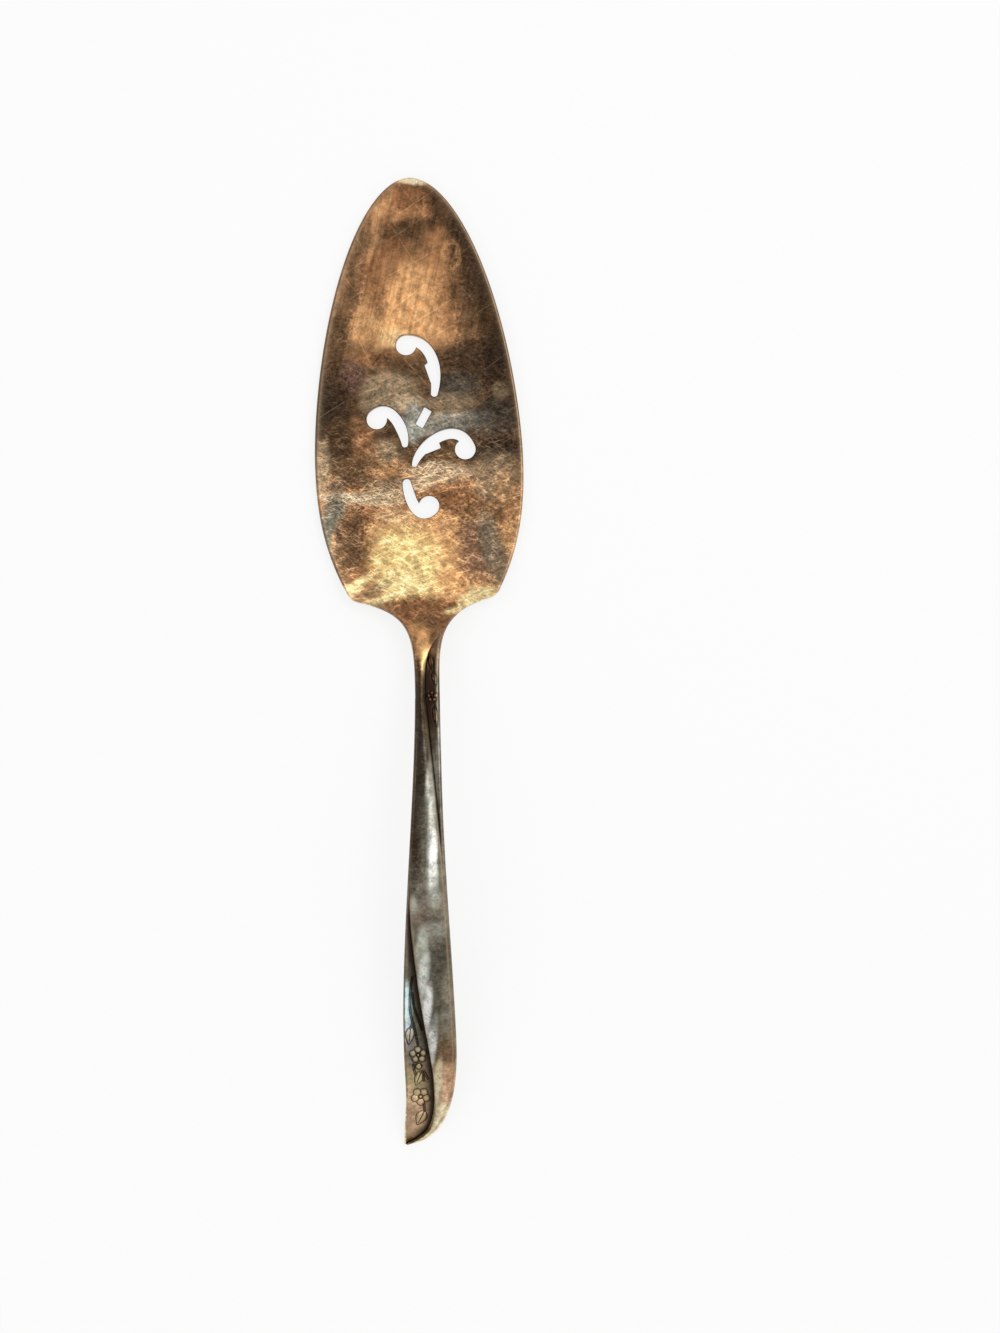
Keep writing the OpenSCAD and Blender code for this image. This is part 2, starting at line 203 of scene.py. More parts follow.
# The lapel fold. The handle's middle is struck up and crowned so that it lies like a lapel over
# two sunk panels: one at the neck on the right, one that fills the left side down to the end.
crown, fold_depth, wall_w, lapel_end_w, seam_w = 0.9, 0.8, 0.5, 1.7, 0.2
upper_panel_w, upper_panel_len, bead_w, bead_h = 3.3, 46, 0.3, 0.14
upper_y = -(blade_back + 8)
PANEL_LEFT, WALL, LAPEL, PANEL_RIGHT = 54, 5, 24, 17
RIGHT_FOOT = PANEL_LEFT + WALL + LAPEL + WALL
COLUMNS = RIGHT_FOOT + PANEL_RIGHT + 1


def spread(start, stop, count, bunch=0.0):
    """Steps from start up to stop, without stop, drawn together at both ends by a sine."""
    t = np.arange(count) / count
    return mix(start, stop, t - bunch * np.sin(2 * np.pi * t) / (2 * np.pi))


row_y = ((left[:, 1] + right[:, 1]) / 2)[:, None]
row_w = (right[:, 0] - left[:, 0])[:, None]
to_end = clip((lower_y - row_y) / (lower_y - end_y - 4))
full_w = handle_right(lower_y) - handle_left(lower_y) - edge_round
lower_w = np.where(row_y > lower_y, 0, row_w - mix(full_w, lapel_end_w, to_end ** 2.3))
upper_w = (upper_panel_w * (1 - (1 - clip((upper_y - row_y) / 15)) ** 3)
           * (1 - clip((neck_y - row_y) / upper_panel_len)) ** 1.3)
lower_w, upper_w = np.maximum(seam_w, lower_w), np.maximum(seam_w, upper_w)
left_wall, right_wall = np.minimum(wall_w, lower_w / 2), np.minimum(wall_w, upper_w / 2)

across = np.concatenate([
    spread(0 * row_w, lower_w - left_wall, PANEL_LEFT),
    spread(lower_w - left_wall, lower_w, WALL),
    spread(lower_w, row_w - upper_w, LAPEL, 0.75),
    spread(row_w - upper_w, row_w - upper_w + right_wall, WALL),
    spread(row_w - upper_w + right_wall, row_w, PANEL_RIGHT), row_w], axis=1)
even = np.arange(COLUMNS) / (COLUMNS - 1)
share = mix(even - 0.1 * np.sin(2 * np.pi * even), across / row_w,
            ease((2 - blade_back - row_y) / 10))
top_x = mix(left[:, :1], right[:, :1], share)
top_y = mix(left[:, 1:], right[:, 1:], share)


def wall_rise(t, depth, slope, width):
    """Height of a wall above its panel: a cubic that leaves the panel steeply and meets the
    lapel at the lapel's own slope, so that the ridge between them is rounded."""
    return (depth * (3 * t ** 2 - 2 * t ** 3 + 1.5 * (t ** 3 - 2 * t ** 2 + t))
            + slope * width * (t ** 3 - t ** 2))


lapel_u = clip((across - lower_w) / (row_w - upper_w - lower_w))
crown_at = crown * ease((upper_y - top_y) / 20)
slope = 4 * crown_at / (row_w - upper_w - lower_w)
left_depth = fold_depth * ease((lower_y - top_y) / 16)
right_depth = (fold_depth * ease((upper_y - top_y) / 10)
               * ease((top_y - neck_y + upper_panel_len) / 14))
column = np.arange(COLUMNS)[None, :]
left_t = clip((column - PANEL_LEFT) / WALL)
right_t = clip((RIGHT_FOOT - column) / WALL)
top_z = (under_z(top_y) + thick(top_y) + (margin_rise - rim_thinning) * margin(top_x, top_y)
         - crown_at * (2 * lapel_u - 1) ** 2
         + wall_rise(left_t, left_depth, slope, left_wall) - left_depth
         + wall_rise(right_t, right_depth, slope, right_wall) - right_depth)


def lean(edge):
    """The share of a crosswise distance that counts square to the edge: the sine of its slope."""
    run = np.gradient(edge, axis=0)
    return (np.abs(run[:, 1]) / np.hypot(*run.T))[:, None]


# How far a place lies from each edge, and the fine bead that borders both panels there
from_left, from_right = share * row_w * lean(outer_left), (1 - share) * row_w * lean(outer_right)
on_left = (column < PANEL_LEFT) * ease((lower_y - top_y) / 10)
on_right = (column > RIGHT_FOOT) * ease((upper_y - top_y) / 6) * (upper_w > 0.6)
top_z += bead_h * (on_left * np.exp(-(from_left / bead_w) ** 2)
                   + on_right * np.exp(-(from_right / bead_w) ** 2))

# The flower relief. A spray of five-petalled blossoms, pointed leaves and thin stems, struck into
# both sunk panels by the same die: each form is raised a little and has a cut line round it.
relief_h, cut_h, cut_w = 0.20, 0.14, 0.15
stem_w, stem_h, vein_h, vein_dark = 0.28, 0.1, 0.1, 0.9
petal_at, petal_r, eye_r = 0.30, 0.20, 0.11   # as shares of a blossom's diameter


def form(distance, rise=relief_h, soft=0.22):
    """A raised form from its signed distance: height inside, and the strength of its cut line."""
    return rise * ease(-distance / soft), np.exp(-((distance - 0.08) / cut_w) ** 2)


def leaf_distance(x, y, foot, tip, width):
    """Signed distance to a leaf: beside its midrib less a half width that swells as a sine."""
    foot, tip = np.array(foot), np.array(tip)
    length = math.dist(foot, tip)
    along_x, along_y = (tip - foot) / length
    s = (x - foot[0]) * along_x + (y - foot[1]) * along_y
    v = np.abs((y - foot[1]) * along_x - (x - foot[0]) * along_y)
    held = np.clip(s, 0, length)
    half = width / 2 * np.sin(np.pi * (held / length) ** 0.8) ** 0.9
    outside = np.hypot(s - held, np.maximum(v - half, 0))
    return np.where(outside > 0, outside, v - half), np.where((s > 0) & (s < 0.85 * length), v, 9.0)


def stem_distance(x, y, points):
    """Distance to a curve through the given points, taken to its nearest short segment."""
    points = np.array(points, float)
    t = np.linspace(0, len(points) - 1, 6 * len(points))
    smooth = np.stack([np.interp(t, range(len(points)), points[:, k]) for k in (0, 1)], 1)
    smooth[1:-1] = (smooth[:-2] + 2 * smooth[1:-1] + smooth[2:]) / 4
    best = np.full(x.shape, 99.0)
    for a, b in zip(smooth[:-1], smooth[1:]):
        run = b - a
        near = clip(((x - a[0]) * run[0] + (y - a[1]) * run[1]) / (run @ run))
        best = np.minimum(best, np.hypot(x - a[0] - near * run[0], y - a[1] - near * run[1]))
    return best


def blossom_distance(x, y, centre, d, turn):
    """Signed distance to five round petals that overlap, how far a place is from the line between
    its two nearest petals, and its distance to the centre."""
    angle = np.radians(turn + 72 * np.arange(5))
    petals = np.stack([np.hypot(x - centre[0] - petal_at * d * math.cos(a),
                                y - centre[1] - petal_at * d * math.sin(a)) - petal_r * d
                       for a in angle])
    petals.sort(axis=0)
    return petals[0], petals[1] - petals[0], np.hypot(x - centre[0], y - centre[1])


stems = [
    [(-5.6, -129.3), (-6.0, -131.3), (-6.35, -133.9), (-6.56, -136.5), (-6.5, -138.9),
     (-6.1, -141.2)],
    [(-5.77, -133.4), (-5.64, -136.6), (-5.1, -138.7), (-4.5, -140.8), (-3.84, -143.2)],
    [(-6.1, -141.2), (-6.4, -141.9), (-6.7, -142.6)],
    [(-6.0, -141.2), (-5.7, -142.8), (-5.4, -144.75), (-5.05, -147.2)],
    [(-3.9, -154.3), (-3.5, -155.3), (-3.0, -156.4)],
    [(-4.3, -154.4), (-4.1, -155.6), (-4.05, -156.9)],
    [(-4.36, -163.5), (-4.38, -164.4), (-4.33, -165.4)],
    [(-6.5, -152.4), (-6.3, -154.2), (-5.9, -155.6)],
]
leaves = [
    [(-6.55, -142.2), (-7.35, -146.9), 2.0], [(-4.5, -154.2), (-6.15, -158.1), 2.1],
    [(-4.3, -165.3), (-6.4, -169.3), 2.6], [(1.25, -49.6), (1.75, -53.6), 1.3],
    [(1.95, -53.8), (2.45, -57.4), 1.2], [(2.0, -62.2), (2.5, -67.6), 1.2],
]
blossoms = [[(-5.1, -149.8), 4.5, 20], [(-5.1, -161.3), 4.8, 52], [(1.55, -60.05), 2.9, 90]]
buds = [[(-5.15, -152.9), 0.75]]

relief = np.zeros(top_x.shape)
cut = np.zeros(top_x.shape)
on_panel = (column < PANEL_LEFT + 1) * (top_y < lower_y) + (column > RIGHT_FOOT - 1)
forms = [form(stem_distance(top_x, top_y, points) - stem_w / 2, stem_h, 0.16) for points in stems]
for foot, tip, width in leaves:
    distance, beside = leaf_distance(top_x, top_y, foot, tip, width)
    forms.append(form(distance, soft=0.3 * width))
    forms.append((-vein_h * np.exp(-(beside / 0.14) ** 2),
                  vein_dark * np.exp(-(beside / 0.12) ** 2)))
for centre, d, turn in blossoms:
    distance, between, out = blossom_distance(top_x, top_y, centre, d, turn)
    forms.append(form(distance, soft=0.15 * d))
    vein = np.exp(-(between / 0.16) ** 2) * (distance < 0) * (out > 0.1 * d)
    forms.append((-vein_h * vein, vein_dark * vein))
    forms.append(form(out - eye_r * d, 1.3 * relief_h, 0.1 * d))
for centre, r in buds:
    forms.append(form(np.hypot(top_x - centre[0], top_y - centre[1]) - r))
for height, line in forms:
    relief = np.where(height > 0, np.maximum(relief, height), relief + height)
    cut = np.maximum(cut, line)
cut *= on_panel * (relief < 0.6 * relief_h)
relief = relief * on_panel - cut_h * cut
top_z += relief

# The skin of the blank. Each row becomes a closed ring: over the top, round the right edge, back
# along the underside and up the left edge. The rings are joined and closed at the two ends.
RIM, UNDER = 7, 18


def rim_rows(outer, turn, high, angle):
    """The rounded edge: from the top point, over the outermost line, to the underside. It is an
    ellipse whose half height is half the thickness and whose reach is the edge rounding."""
    inner = inset(outer, edge_round, turn)
    low = under_z(inner[:, 1]) + margin_rise * margin(inner[:, 0], inner[:, 1])
    points = [inset(outer, edge_round * (1 - math.cos(a)), turn) for a in angle]
    x = np.stack([p[:, 0] for p in points], 1)
    y = np.stack([p[:, 1] for p in points], 1)
    z = (high + low)[:, None] / 2 + (high - low)[:, None] / 2 * np.sin(angle)[None, :]
    return x, y, z


down = np.radians(90 - 180 * np.arange(1, RIM) / RIM)
right_rim = rim_rows(outer_right, -1, top_z[:, -1], down)
left_rim = rim_rows(outer_left, 1, top_z[:, 0], down[::-1])
back = np.arange(UNDER + 1) / UNDER
back = (back - 0.08 * np.sin(2 * np.pi * back))[None, :]
under_x, under_y = mix(right[:, :1], left[:, :1], back), mix(right[:, 1:], left[:, 1:], back)
under = under_z(under_y) + margin_rise * margin(under_x, under_y)
ring_x = np.concatenate([top_x, right_rim[0], under_x, left_rim[0]], axis=1)
ring_y = np.concatenate([top_y, right_rim[1], under_y, left_rim[1]], axis=1)
ring_z = np.concatenate([top_z, right_rim[2], under, left_rim[2]], axis=1)

# The end corner is rounded off like the edges
middle = under_z(ring_y) + thick(ring_y) / 2 - fold_depth / 2
nose = clip((end_y + edge_round - ring_y) / edge_round)
ring_z = np.where(nose > 0, middle + (ring_z - middle) * np.sqrt(1 - 0.85 * nose ** 2), ring_z)

rows, ring = ring_x.shape
tip = [0, blade_front, margin_rise + (blade_t - rim_thinning) / 2]
heel = [mix(outer_left[-1, 0], outer_right[-1, 0], 0.4), end_y, float(middle[-1, 0])]
points = np.concatenate([np.stack([ring_x, ring_y, ring_z], 2).reshape(-1, 3), [tip, heel]])
a = (np.arange(rows - 1)[:, None] * ring + np.arange(ring)[None, :])
b = (np.arange(rows - 1)[:, None] * ring + (np.arange(ring)[None, :] + 1) % ring)
quads = np.stack([a, a + ring, b + ring, b], 2).reshape(-1, 4)
loop = np.arange(ring)
loop_next = (loop + 1) % ring
nose_fan = np.stack([np.full(ring, rows * ring), loop, loop_next], 1)
heel_fan = np.stack([np.full(ring, rows * ring + 1), (rows - 1) * ring + loop_next,
                     (rows - 1) * ring + loop], 1)
mesh = bpy.data.meshes.new("pie_server_skin")
mesh.from_pydata((points * MM).tolist(), [],
                 quads.tolist() + nose_fan.tolist() + heel_fan.tolist())
mesh.update()


def keep(name, top, rim_value=0.0):
    """Stores one number per point: the given grid on the top, one value on the rims, 0 below."""
    whole = np.concatenate([top, np.full((rows, RIM - 1), rim_value), np.zeros((rows, UNDER + 1)),
                            np.full((rows, RIM - 1), rim_value)], axis=1)
    flat = np.concatenate([whole.ravel(), [rim_value, rim_value]]).astype(np.float32)
    mesh.attributes.new(name, "FLOAT", "POINT").data.foreach_set("value", flat)


# Masks for painted shade at the foot of the panel walls and beside the ridge wall, for painted
# highlights on the ridge tops, raised forms and rim, and for the panels and their cut lines
lower_from, upper_from = ease((lower_y - top_y) / 12), ease((upper_y - top_y) / 8)
in_left = (column < PANEL_LEFT + 2) * lower_from
in_right = (column > RIGHT_FOOT - 3) * upper_from * (upper_w > 0.3)
foot_shade_left = np.exp(-np.abs(across - lower_w + left_wall) / 0.22) * lower_from
foot_shade_right = (np.exp(-np.abs(across - row_w + upper_w - right_wall) / 0.2)
              * upper_from * ease((upper_w - 0.3) / 0.3))
lee_shadow_left = np.exp(-(lower_w - left_wall - across) / 1.3) * in_left
crest_highlight_left = np.exp(-((across - lower_w - 0.15) / 0.3) ** 2) * ease((lower_y - top_y) / 16)
crest_highlight_right = (np.exp(-((across - row_w + upper_w + 0.1) / 0.25) ** 2)
               * ease((upper_y - top_y) / 12))
keep("cut_line_and_foot_shade", np.maximum(cut, np.maximum(foot_shade_left, foot_shade_right)))
keep("panel", clip(in_left + in_right))
keep("lee_shadow", clip(lee_shadow_left))
keep("raised", clip(relief / relief_h))
keep("crest_highlight", np.maximum(crest_highlight_left, crest_highlight_right))
keep("rim", np.exp(-np.minimum(from_left, from_right) / 0.45), 1.0)

server = bpy.data.objects.new("pie_server_dressed", mesh)
bpy.context.scene.collection.objects.link(server)

# The pierced spray. Four scrolls and a small bar are sawn out of the flat of the blade, and the
# sawn edges are eased with a file, above and below.
tail_w, scroll_w, lobe_r, saw_round, file_w = 1.8, 2.75, 2.65, 0.35, 0.16


def band_outline(spine, start_w, body_w, grow):
    """A band round a Bezier spine: it swells from its tail as a sine, and its ends are half
    circles. It is grown outwards by the same amount everywhere."""
    at = bezier(*spine, np.linspace(0, 1, 33))
    run = np.gradient(at, axis=0)
    heading = np.arctan2(run[:, 1], run[:, 0])
    swell = np.sin(np.pi / 2 * np.minimum(1, 2.5 * np.linspace(0, 1, 33)))
    half = mix(start_w, body_w, swell)[:, None] / 2 + grow

    def aim(a):
        return np.stack([np.cos(a), np.sin(a)], 1)

    turn = np.linspace(0, np.pi, 15)[1:-1]
    return np.concatenate([at + half * aim(heading + np.pi / 2),
                           at[-1] + half[-1] * aim(heading[-1] + np.pi / 2 - turn),
                           (at + half * aim(heading - np.pi / 2))[::-1],
                           at[0] + half[0] * aim(heading[0] - np.pi / 2 - turn)])


def lobe_outline(spine, side, grow):
    """A scroll's round lobe, run clockwise like the bands: a circle to the left of the spine's end
    or to the right, so placed that it touches the outer side of the band from within."""
    end, run = np.array(spine[3]), np.subtract(spine[3], spine[2])
    centre = end + side * (lobe_r - scroll_w / 2) * np.array([-run[1], run[0]]) / math.hypot(*run)
    angle = np.linspace(0, -2 * np.pi, 65)[:-1]
    return centre + (lobe_r + grow) * np.stack([np.cos(angle), np.sin(angle)], 1)


def sawn_outline(corners, grow):
    """A polygon, run clockwise, whose sides move out by the same amount along the bisectors of its
    corners. A short parabola then rounds each corner, from a place before it to one after it."""
    corners = np.array(corners, float)
    before, after = corners - np.roll(corners, 1, 0), np.roll(corners, -1, 0) - corners
    longest = 0.45 * np.minimum(np.hypot(*before.T), np.hypot(*after.T))
    before /= np.hypot(*before.T)[:, None]
    after /= np.hypot(*after.T)[:, None]
    normal = np.stack([-before[:, 1] - after[:, 1], before[:, 0] + after[:, 0]], 1)
    corners = corners + grow * normal / (1 + (before * after).sum(1)[:, None])
    half = np.arccos(np.clip(-(before * after).sum(1), -1, 1)) / 2
    reach = np.minimum(saw_round / np.tan(half), longest)[:, None]
    t = np.linspace(0, 1, 6)[None, :, None]
    start, stop = (corners - reach * before)[:, None], (corners + reach * after)[:, None]
    curve = (1 - t) ** 2 * start + 2 * t * (1 - t) * corners[:, None] + t ** 2 * stop
    return curve.reshape(-1, 2)


def tool(outline_at):
    """The solid that cuts one shape: the shape's own outline through the metal, grown towards
    both faces of the blade for the filed edge. The last rings stand clear of the metal."""
    clear = 0.6
    levels = [(-clear, clear + file_w), (file_w, 0.0), (blade_t - file_w, 0.0),
              (blade_t + clear, clear + file_w)]
    rings = [np.concatenate([outline_at(grow), np.full((len(outline_at(grow)), 1), z)], 1)
             for z, grow in levels]
    n = len(rings[0])
    loop = np.arange(n)
    skin = [np.stack([k * n + loop, (k + 1) * n + loop, (k + 1) * n + (loop + 1) % n,
                      k * n + (loop + 1) % n], 1).tolist() for k in range(len(rings) - 1)]
    caps = [loop.tolist(), ((len(rings) - 1) * n + loop[::-1]).tolist()]
    return np.concatenate(rings), sum(skin, []) + caps


LEFT, RIGHT = 1, -1
scrolls = [
    [[(4.5, 17.4), (5.8, 23.5), (4.4, 31.2), (-2.3, 31.3)], LEFT, tail_w],
    [[(-3.5, 4.6), (-3.4, 8.1), (-6.8, 16.1), (-11.3, 12.3)], LEFT, 0.9 * tail_w],
    [[(-1.2, -0.6), (0.1, 4.1), (9.9, 11.4), (13.1, 3.3)], RIGHT, 0.8 * tail_w],
    [[(-3.4, -5.3), (-3.2, -7.1), (-1.6, -16.0), (2.9, -12.4)], LEFT, 1.2 * tail_w],
]
thorns_and_bar = [
    [(4.2, 26.4), (4.9, 23.1), (3.9, 19.4), (2.2, 24.8)],
    [(4.9, 5.8), (5.7, 3.3), (0.1, 1.3), (1.9, 3.8), (4.0, 5.7)],
    [(1.8, 14.1), (3.7, 12.8), (1.2, 8.5), (-0.7, 9.7)],
]
outlines = []
for spine, side, tail in scrolls:
    outlines.append(lambda grow, s=spine, t=tail: band_outline(s, t, scroll_w, grow))
    outlines.append(lambda grow, s=spine, k=side: lobe_outline(s, k, grow))
for corners in thorns_and_bar:
    outlines.append(lambda grow, c=corners: sawn_outline(c, grow))
cut_points, cut_faces = [], []
for outline in outlines:
    solid, faces = tool(outline)
    shift = sum(len(p) for p in cut_points)
    cut_points.append(solid)
    cut_faces += [[v + shift for v in face] for face in faces]
tool_mesh = bpy.data.meshes.new("fretsaw_cut")
tool_mesh.from_pydata((np.concatenate(cut_points) * MM).tolist(), [], cut_faces)
tool_body = bpy.data.objects.new("fretsaw_cut", tool_mesh)
bpy.context.scene.collection.objects.link(tool_body)
piercing = server.modifiers.new("pierced_spray", "BOOLEAN")
piercing.operation = "DIFFERENCE"
piercing.solver = "EXACT"
piercing.use_self = True
piercing.object = tool_body
bpy.context.view_layer.update()
scene_now = bpy.context.evaluated_depsgraph_get()
pierced = bpy.data.meshes.new_from_object(server.evaluated_get(scene_now))
server.modifiers.clear()
server.data = pierced
pierced.name = "pie_server_dressed"
bpy.data.objects.remove(tool_body)
bpy.data.meshes.remove(mesh)
bpy.data.meshes.remove(tool_mesh)
pierced.shade_smooth()
pierced.set_sharp_from_angle(angle=math.radians(32))

# The silver plate. Electroplated silver that has tarnished in bands and blooms, from pale gold
# through rust and umber to slate, and scratched by use. Its bands and stains are partly painted
# reflections, and its rim, ridge tops and relief carry painted highlights.
TINTS = {
    "cream_highlight": (0.9, 0.76, 0.5), "straw": (0.86, 0.67, 0.34), "glow": (0.9, 0.65, 0.28),
    "orange": (0.68, 0.36, 0.155), "honey": (0.5, 0.265, 0.12), "tawny": (0.33, 0.16, 0.072),
    "rust": (0.21, 0.095, 0.042), "umber": (0.13, 0.07, 0.035), "bistre": (0.068, 0.037, 0.019),
    "soot": (0.03, 0.018, 0.012), "ash": (0.06, 0.05, 0.038), "slate": (0.13, 0.12, 0.09),
    "olive": (0.27, 0.19, 0.115), "stone": (0.2, 0.17, 0.13), "beige": (0.56, 0.41, 0.26),
    "rose": (0.68, 0.44, 0.28), "wine": (0.13, 0.07, 0.05), "moss": (0.4, 0.33, 0.18),
    "mist_reflection": (0.7, 0.71, 0.64), "teal": (0.5, 0.51, 0.42), "frost_reflection": (1, 0.99, 0.93),
    "lilac": (0.4, 0.42, 0.45), "sky": (0.62, 0.86, 0.86), "pewter": (0.34, 0.33, 0.28),
}

# Main tint at each place along the length, from the end corner to the tip: tarnish, and in part
# painted reflections of the surroundings
BANDS_AND_REFLECTIONS = [
    (-175, "cream_highlight"), (-166, "cream_highlight"), (-160, "moss"), (-150, "olive"), (-139, "slate"),
    (-124, "slate"), (-112, "stone"), (-88, "slate"), (-78, "ash"), (-60, "bistre"), (-54, "umber"),
    (-50, "honey"), (-46.5, "tawny"), (-42, "rust"), (-38, "rust"), (-35, "honey"), (-31, "honey"),
    (-25, "honey"), (-18, "honey"), (-13, "tawny"), (-6, "tawny"), (0, "umber"), (12, "bistre"),
    (22, "umber"), (28, "umber"), (33, "honey"), (42, "honey"), (50, "tawny"), (56, "umber"),
    (64, "tawny"), (72, "rust"),
]

silver = bpy.data.materials.new("tarnished_silver_plate")
silver.use_nodes = True
tree = silver.node_tree
tree.nodes.clear()


def put(kind, inputs=(), out=0, **settings):
    """Adds a node, sets its settings, sets or feeds its inputs, and gives one of its outputs."""
    made = tree.nodes.new("ShaderNode" + kind)
    for name, value in settings.items():
        setattr(made, name, value)
    for key, value in dict(inputs).items():
        if isinstance(value, bpy.types.NodeSocket):
            tree.links.new(value, made.inputs[key])
        else:
            made.inputs[key].default_value = value
    return made.outputs[out] if made.outputs else None


def calc(operation, a, b=0.0, clamp=False):
    """One step of arithmetic on two numbers."""
    return put("Math", {0: a, 1: b}, operation=operation, use_clamp=clamp)


def step(value, start, stop, low=0.0, high=1.0):
    """An eased step of a number, from low at start to high at stop."""
    return put("MapRange", {0: value, 1: start, 2: stop, 3: low, 4: high},
               interpolation_type="SMOOTHSTEP")


def lay(under, tint, cover):
    """Lays a tint over a colour, with a cover from 0 to 1."""
    return put("Mix", {0: cover, 6: under, 7: tint}, out=2, data_type="RGBA")


def noise(at, scale, detail=2.0, roughness=0.5, out=0):
    """Soft noise at a number of lumps per millimetre."""
    return put("TexNoise", {"Vector": at, "Scale": scale, "Detail": detail, "Roughness": roughness},
               out=out)


def turned(at, centre=(0, 0, 0), turn=0.0, size=(1, 1, 1)):
    """Places a pattern: centred, turned about Z in degrees, with its own unit lengths."""
    return put("Mapping", {"Vector": at, "Location": centre, "Rotation": (0, 0, math.radians(turn)),
                           "Scale": size}, vector_type="TEXTURE")


def stored(name):
    """The number that the skin stores at each point under a name."""
    return put("Attribute", out=2, attribute_name=name)


def rgba(name):
    """A tint of the table as a socket value."""
    return (*TINTS[name], 1.0)


# A place on the piece in millimetres, and the same place in the plane, moved about a little by
# noise so that bands and stains have wandering edges: less on the narrow handle
at = put("Mapping", {"Vector": put("TexCoord", out=3), "Scale": (1 / MM, 1 / MM, 1 / MM)})
wander = put("VectorMath", {0: noise(at, 0.16, 4, 0.6, out=1), 1: (0.5, 0.5, 0.5)},
             operation="SUBTRACT")
place_y = put("SeparateXYZ", {0: at}, out=1)
wander = put("VectorMath", {0: wander, 3: step(place_y, -46.0, -36.0, 0.8, 3.6)}, operation="SCALE")
flat_at = put("VectorMath", {0: put("VectorMath", {0: at, 1: wander}, operation="ADD"),
                             1: (1, 1, 0), 2: (0, 0, 1)}, operation="MULTIPLY_ADD")
along = put("SeparateXYZ", {0: flat_at}, out=1)

first_y, last_y = BANDS_AND_REFLECTIONS[0][0], BANDS_AND_REFLECTIONS[-1][0]
along = put("MapRange", {0: along, 1: float(first_y), 2: float(last_y)})
bands = tree.nodes.new("ShaderNodeValToRGB")
tree.links.new(along, bands.inputs[0])
for number, (y, name) in enumerate(BANDS_AND_REFLECTIONS):
    place = (y - first_y) / (last_y - first_y)
    stop = bands.color_ramp.elements[number] if number < 2 else bands.color_ramp.elements.new(place)
    stop.position = place
    stop.color = rgba(name)
colour = bands.outputs[0]

# The grain of the tarnish: coarse clouds, fine mottling, and streaks along the upper blade
clouds = noise(at, 0.42, 5, 0.65)
mottle = noise(at, 1.25, 5, 0.78)
streaks = noise(turned(at, turn=-14, size=(0.5, 7, 1)), 0.5, 5, 0.75)
grain = put("MapRange", {0: mottle, 1: 0.3, 2: 0.7, 3: -0.6, 4: 0.6}, clamp=False)
